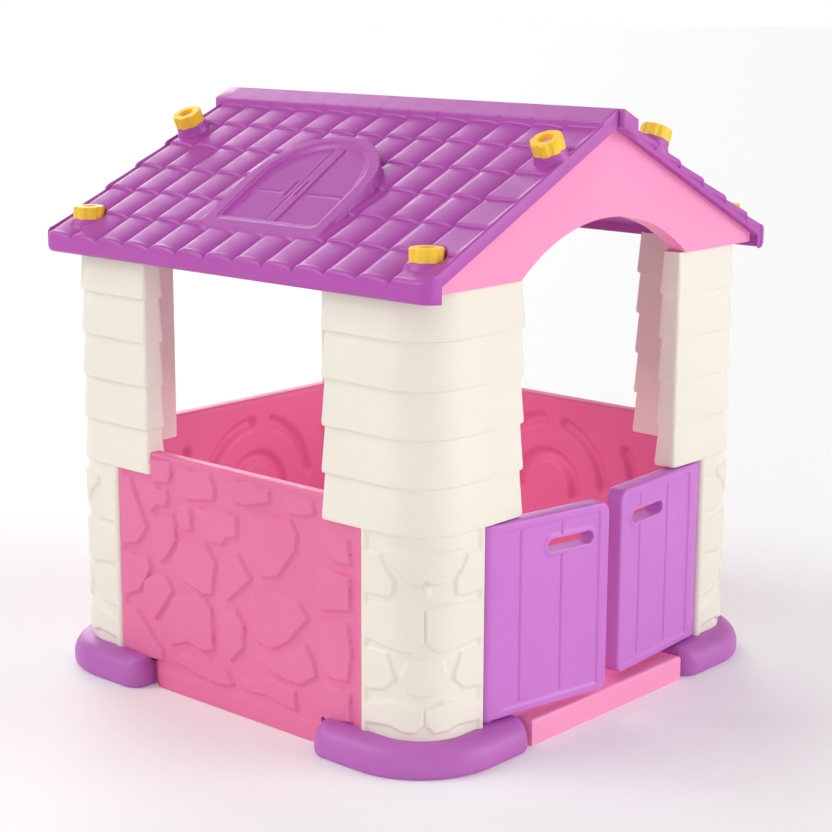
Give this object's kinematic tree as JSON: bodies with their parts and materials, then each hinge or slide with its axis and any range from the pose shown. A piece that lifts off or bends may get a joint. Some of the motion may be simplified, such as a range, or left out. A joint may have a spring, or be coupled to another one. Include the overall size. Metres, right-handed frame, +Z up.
{
  "type": "plastic playhouse",
  "caption": "Child's open plastic playhouse: corner pillars on feet, half walls, arched gables, tiled pitched roof with hand nuts, and two half-height door leaves.",
  "frame": {"origin": "on the floor, under the middle of the house's footprint", "axes": "+Z up; -Y is the front with the doorway and its two leaves; the ridge runs along Y"},
  "size_m": [1.09, 1.0695, 1.15],
  "materials": {
    "roof_purple": "moulded polyethylene, satin",
    "door_purple": "moulded polyethylene, satin",
    "foot_purple": "moulded polyethylene, satin",
    "wall_pink": "moulded polyethylene, satin",
    "gable_pink": "moulded polyethylene, satin",
    "pillar_cream": "moulded polyethylene, satin",
    "nut_yellow": "moulded polyethylene, satin"
  },
  "bodies": {
    "house": {"door_sill": "gable_pink", "foot_back_left": "foot_purple", "foot_back_right": "foot_purple", "foot_front_left": "foot_purple", "foot_front_right": "foot_purple", "gable_back": "gable_pink", "gable_front": "gable_pink", "pillar_back_left": "pillar_cream", "pillar_back_right": "pillar_cream", "pillar_front_left": "pillar_cream", "pillar_front_right": "pillar_cream", "roof_left": "roof_purple", "roof_nut_eave_back_left": "nut_yellow", "roof_nut_eave_back_right": "nut_yellow", "roof_nut_eave_front_left": "nut_yellow", "roof_nut_eave_front_right": "nut_yellow", "roof_nut_ridge_back_left": "nut_yellow", "roof_nut_ridge_back_right": "nut_yellow", "roof_nut_ridge_front_left": "nut_yellow", "roof_nut_ridge_front_right": "nut_yellow", "roof_right": "roof_purple", "wall_back": "wall_pink", "wall_left": "wall_pink", "wall_right": "wall_pink"},
    "left_door": {"door_left": "door_purple", "hinge_pin_left_lower": "door_purple", "hinge_pin_left_upper": "door_purple"},
    "right_door": {"door_right": "door_purple", "hinge_pin_right_lower": "door_purple", "hinge_pin_right_upper": "door_purple"}
  },
  "joints": [
    {"name": "left_door_swing", "type": "hinge", "parent": "house", "child": "left_door", "pos_m": [-0.319, -0.471, 0.25], "axis": [0, 0, 1], "range_deg": [-85, 99]},
    {"name": "right_door_swing", "type": "hinge", "parent": "house", "child": "right_door", "pos_m": [0.319, -0.471, 0.25], "axis": [0, 0, 1], "range_deg": [-94, 90]}
  ]
}
